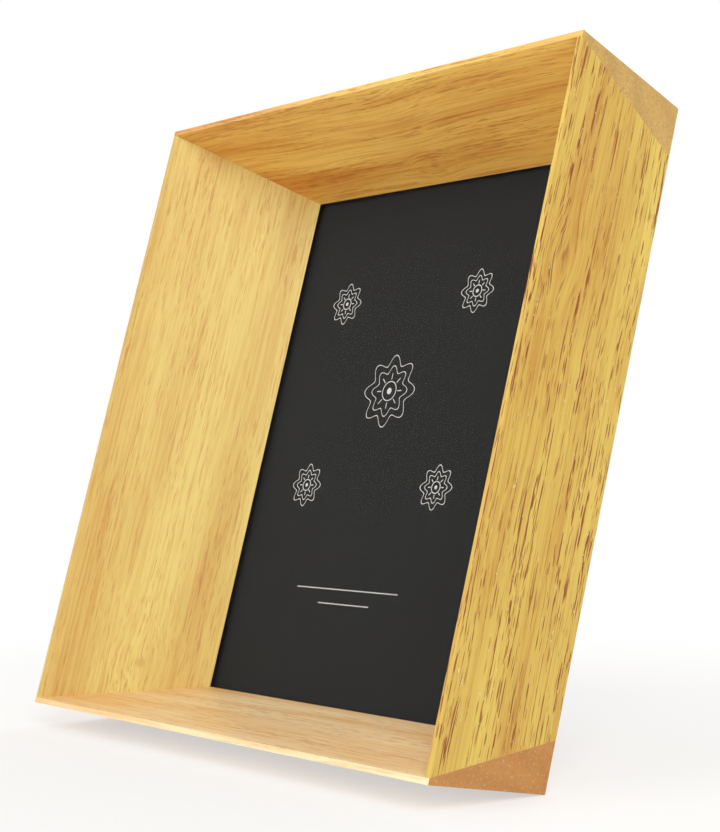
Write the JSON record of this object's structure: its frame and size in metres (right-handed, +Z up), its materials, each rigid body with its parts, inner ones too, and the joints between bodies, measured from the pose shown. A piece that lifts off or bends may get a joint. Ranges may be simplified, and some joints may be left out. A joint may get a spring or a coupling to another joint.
{
  "type": "easel back photo frame",
  "caption": "Deep wooden display frame with sloping wedge rails round a small photo opening, leaning on a folding easel strut hinged to its back board.",
  "frame": {"origin": "on the table, in the middle of the footprint, with the frame leaning back on its open strut", "axes": "+X to the viewer's right, +Y from front to back, +Z up"},
  "size_m": [0.1684, 0.0978, 0.1765],
  "materials": {
    "wood_across": "satin lacquer",
    "wood_upright": "satin lacquer",
    "glass": "clear, low reflection",
    "card": "matt print",
    "fibreboard": "bare hardboard",
    "plated_steel": "zinc plated",
    "button_steel": "zinc plated",
    "screw_steel": "zinc plated",
    "rivet_steel": "nickel plated",
    "ring_wire": "nickel plated",
    "nail_steel": "bare"
  },
  "bodies": {
    "frame": {"top_rail": "wood_across", "bottom_rail": "wood_across", "left_rail": "wood_upright", "right_rail": "wood_upright", "v_nails": "nail_steel", "glass_pane": "glass", "display_card": "card", "back_board": "fibreboard", "hinge_bracket": "plated_steel", "hinge_pin": "plated_steel", "bracket_rivets": "rivet_steel", "hanger_strap": "plated_steel", "hanger_rivet": "rivet_steel", "screw_top_left": "screw_steel", "screw_top_right": "screw_steel", "screw_bottom_left": "screw_steel", "screw_bottom_right": "screw_steel"},
    "strut": {"strut": "fibreboard", "strut_leaf": "plated_steel", "strut_rivets": "rivet_steel"},
    "ring": {"hanger_ring": "ring_wire"},
    "button_top_left": {"turn_button_top_left": "button_steel"},
    "button_top_right": {"turn_button_top_right": "button_steel"},
    "button_bottom_left": {"turn_button_bottom_left": "button_steel"},
    "button_bottom_right": {"turn_button_bottom_right": "button_steel"}
  },
  "joints": [
    {"name": "strut_fold", "type": "hinge", "parent": "frame", "child": "strut", "pos_m": [0, 0.02243, 0.09898], "axis": [-1, 0, 0], "range_deg": [0, 32]},
    {"name": "ring_swing", "type": "hinge", "parent": "frame", "child": "ring", "pos_m": [0, 0.02978, 0.13693], "axis": [1, 0, 0], "range_deg": [-16, 150]},
    {"name": "turn_top_left", "type": "hinge", "parent": "frame", "child": "button_top_left", "pos_m": [-0.0605, 0.02465, 0.12539], "axis": [0, 0.9613, -0.2756], "continuous": true},
    {"name": "turn_top_right", "type": "hinge", "parent": "frame", "child": "button_top_right", "pos_m": [0.0605, 0.02465, 0.12539], "axis": [0, 0.9613, -0.2756], "continuous": true},
    {"name": "turn_bottom_left", "type": "hinge", "parent": "frame", "child": "button_bottom_left", "pos_m": [-0.0605, -0.0007, 0.03696], "axis": [0, 0.9613, -0.2756], "continuous": true},
    {"name": "turn_bottom_right", "type": "hinge", "parent": "frame", "child": "button_bottom_right", "pos_m": [0.0605, -0.0007, 0.03696], "axis": [0, 0.9613, -0.2756], "continuous": true}
  ]
}
